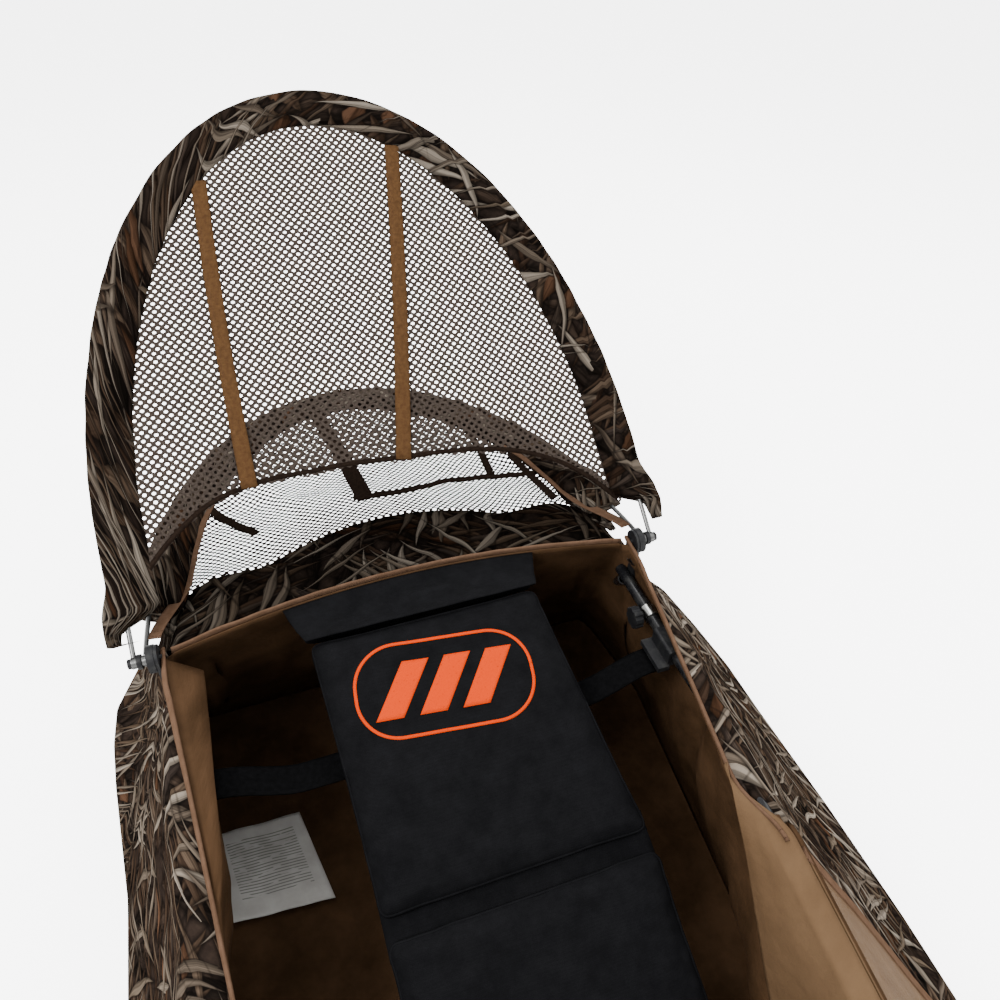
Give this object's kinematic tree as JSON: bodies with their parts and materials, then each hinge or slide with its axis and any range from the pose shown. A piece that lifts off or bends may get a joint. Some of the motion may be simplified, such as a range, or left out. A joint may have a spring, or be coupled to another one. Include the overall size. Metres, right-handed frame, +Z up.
{
  "type": "layout field blind",
  "caption": "Low fabric lie-down blind: camouflage tub on a tube frame, padded back rest, two side doors and a net hood on swinging bows.",
  "frame": {"origin": "centre of the bounding box on the ground", "axes": "+Z up, +Y towards the head end with the hood, +X across to the right seen from the foot"},
  "size_m": [1.05, 2.248, 0.8244],
  "materials": {
    "camo_fabric": "matt printed polyester",
    "coated_fabric": "coated tan polyester",
    "binding_tape": "woven tape",
    "brown_webbing": "woven webbing",
    "black_webbing": "woven webbing",
    "net": "knitted mesh",
    "pad_fabric": "black polyester over foam",
    "pad_print": "screen print",
    "label_cloth": "satin label cloth",
    "black_tube": "gloss black powder coat",
    "spring_steel": "bright spring steel",
    "plated_band": "zinc plated",
    "black_plastic": "moulded black nylon"
  },
  "bodies": {
    "root": {"side_wall_right": "camo_fabric", "side_wall_left": "camo_fabric", "head_wall": "camo_fabric", "foot_cover": "camo_fabric", "foot_wall": "camo_fabric", "floor_panel": "coated_fabric", "rear_binding": "binding_tape", "side_binding_right": "binding_tape", "side_binding_left": "binding_tape", "stake_tabs": "black_webbing", "headrest_pad": "pad_fabric", "back_pad": "pad_fabric", "lumbar_pad": "pad_fabric", "seat_pad": "pad_fabric", "pad_mark": "pad_print", "care_label": "label_cloth", "base_rail_right": "black_tube", "base_rail_left": "black_tube", "head_cross_tube": "black_tube", "seat_cross_tube": "black_tube", "foot_cross_tube": "black_tube", "side_rail_right": "black_tube", "side_rail_left": "black_tube", "head_upright_right": "black_tube", "head_upright_left": "black_tube", "foot_cross_bar": "black_tube", "foot_leg_right": "black_tube", "foot_leg_left": "black_tube", "hub_bracket_right": "black_tube", "hub_bracket_left": "black_tube", "pivot_pin_right": "spring_steel", "pivot_pin_left": "spring_steel", "rail_clamp_right": "plated_band", "rail_clamp_left": "plated_band", "hub_boss_right": "black_plastic", "hub_boss_left": "black_plastic"},
    "hood_front": {"front_bow_rod": "spring_steel", "front_sleeve": "camo_fabric", "face_screen": "net", "screen_hem": "binding_tape", "screen_strap_left": "brown_webbing", "screen_strap_right": "brown_webbing"},
    "hood_rear": {"rear_bow_rod": "spring_steel", "rear_sleeve": "camo_fabric", "rear_net": "net", "brush_strap_left": "camo_fabric", "brush_strap_middle": "camo_fabric", "brush_strap_right": "camo_fabric"},
    "door_right": {"door_panel_right": "camo_fabric", "door_binding_right": "binding_tape"},
    "door_left": {"door_panel_left": "camo_fabric", "door_binding_left": "binding_tape"},
    "knob_right": {"lock_knob_right": "black_plastic"},
    "knob_left": {"lock_knob_left": "black_plastic"},
    "sling": {"sling_strap": "black_webbing", "sling_slider_right": "black_plastic", "sling_slider_left": "black_plastic"}
  },
  "joints": [
    {"name": "hood_front_swing", "type": "hinge", "parent": "root", "child": "hood_front", "pos_m": [0, 0.456, 0.379], "axis": [1, 0, 0], "range_deg": [0, 121]},
    {"name": "hood_rear_swing", "type": "hinge", "parent": "root", "child": "hood_rear", "pos_m": [0, 0.456, 0.379], "axis": [1, 0, 0], "range_deg": [0, 22]},
    {"name": "door_right_fold", "type": "hinge", "parent": "root", "child": "door_right", "pos_m": [0.3, 0.184, 0.324], "axis": [-0.052, -0.9929, -0.1066], "range_deg": [0, 222]},
    {"name": "door_left_fold", "type": "hinge", "parent": "root", "child": "door_left", "pos_m": [-0.3, 0.184, 0.324], "axis": [-0.052, 0.9929, 0.1066], "range_deg": [0, 214]},
    {"name": "knob_right_turn", "type": "hinge", "parent": "root", "child": "knob_right", "pos_m": [0.2892, 0.372, 0.324], "axis": [1, 0, 0], "range_deg": [-180, 180]},
    {"name": "knob_left_turn", "type": "hinge", "parent": "root", "child": "knob_left", "pos_m": [-0.2892, 0.372, 0.324], "axis": [-1, 0, 0], "range_deg": [-180, 180]},
    {"name": "sling_slide", "type": "slide", "parent": "root", "child": "sling", "axis": [0, 1, 0], "range_m": [-0.015, 0.015]}
  ]
}
